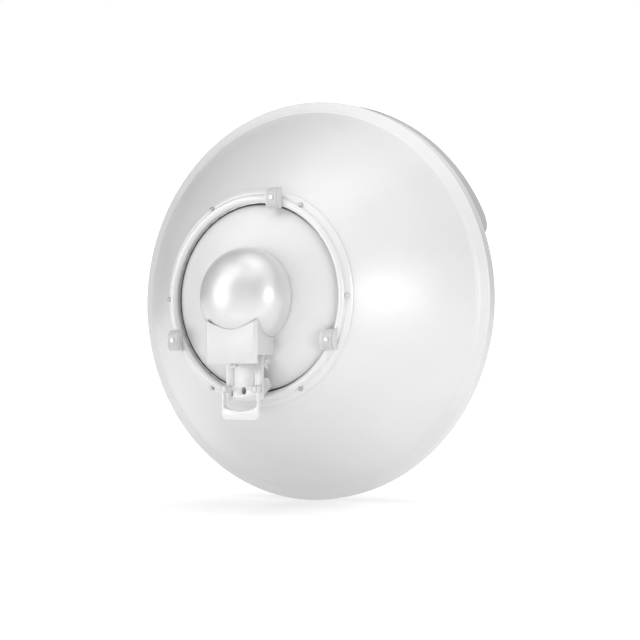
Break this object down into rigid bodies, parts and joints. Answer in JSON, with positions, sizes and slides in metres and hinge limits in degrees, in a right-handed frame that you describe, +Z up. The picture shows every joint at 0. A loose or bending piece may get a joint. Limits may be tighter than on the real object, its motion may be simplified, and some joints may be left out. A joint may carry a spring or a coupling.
{
  "type": "outdoor wireless bridge",
  "caption": "Deep white dish antenna with a rain brim, its radio in a domed rear housing over a stiffening ring, port cover, tilting mast bracket and swinging bail.",
  "frame": {"origin": "middle of the raised seat on the bracket's rear face, where the mast arm is bolted", "axes": "+Y to the rear, out of the seat; the dish radiates along -Y; +Z up; +X to the right seen from the front"},
  "size_m": [0.65, 0.289, 0.651],
  "materials": {
    "white_sheet": "satin white powder coat on pressed sheet",
    "white_casting": "satin white powder coat",
    "white_plastic": "semi-gloss white moulding",
    "grey_polymer": "satin light grey moulding",
    "black_rubber": "matte black seal",
    "steel": "plain stainless fasteners",
    "aluminium": "bare machined or pressed",
    "board_green": "green solder mask",
    "ceramic": "unglazed patch antenna",
    "jack_black": "black moulding",
    "lens_clear": "clear light pipe"
  },
  "bodies": {
    "bracket": {"bracket_body": "white_casting", "mast_nut": "steel", "tilt_bolt_left": "white_casting", "tilt_bolt_right": "white_casting", "tilt_nut_left": "steel", "tilt_nut_right": "steel", "bail_pin_left": "white_casting", "bail_pin_right": "white_casting"},
    "antenna": {"outer_reflector": "white_sheet", "rain_brim": "white_sheet", "hub_disc": "white_sheet", "ring_frame": "white_casting", "ring_gasket": "black_rubber", "ring_saddle_top": "grey_polymer", "ring_saddle_left": "grey_polymer", "ring_saddle_right": "grey_polymer", "saddle_screw_top": "steel", "saddle_screw_left": "steel", "saddle_screw_right": "steel", "rear_housing": "white_plastic", "housing_seal": "black_rubber", "radio_chassis": "aluminium", "main_board": "board_green", "radio_shield": "aluminium", "gps_antenna": "ceramic", "port_block": "white_plastic", "ethernet_jack": "jack_black", "status_light": "lens_clear", "ground_screw": "steel", "feed_waveguide": "aluminium", "feed_tube": "white_plastic", "sub_reflector": "aluminium", "feed_cap": "white_plastic", "tilt_yoke": "white_casting", "ring_screw_1": "steel", "ring_screw_2": "steel", "ring_screw_3": "steel", "ring_screw_4": "steel", "ring_screw_5": "steel", "ring_screw_6": "steel", "board_standoff_1": "aluminium", "board_standoff_2": "aluminium", "board_standoff_3": "aluminium", "board_standoff_4": "aluminium"},
    "bail": {"bail_lever": "white_casting"},
    "cover": {"port_cover": "white_plastic", "cover_screw": "steel"},
    "button": {"reset_button": "grey_polymer"}
  },
  "joints": [
    {"name": "elevation_tilt", "type": "hinge", "parent": "bracket", "child": "antenna", "pos_m": [0, -0.0135, 0.022], "axis": [-1, 0, 0], "range_deg": [-12, 20]},
    {"name": "bail_swing", "type": "hinge", "parent": "bracket", "child": "bail", "pos_m": [0, 0.0077, -0.0215], "axis": [1, 0, 0], "range_deg": [0, 90]},
    {"name": "cover_pull", "type": "slide", "parent": "antenna", "child": "cover", "axis": [0, 1, 0], "range_m": [0, 0.048]},
    {"name": "reset_press", "type": "slide", "parent": "antenna", "child": "button", "axis": [0, 0, 1], "range_m": [0, 0.001], "stiffness_N_per_m": 900}
  ]
}
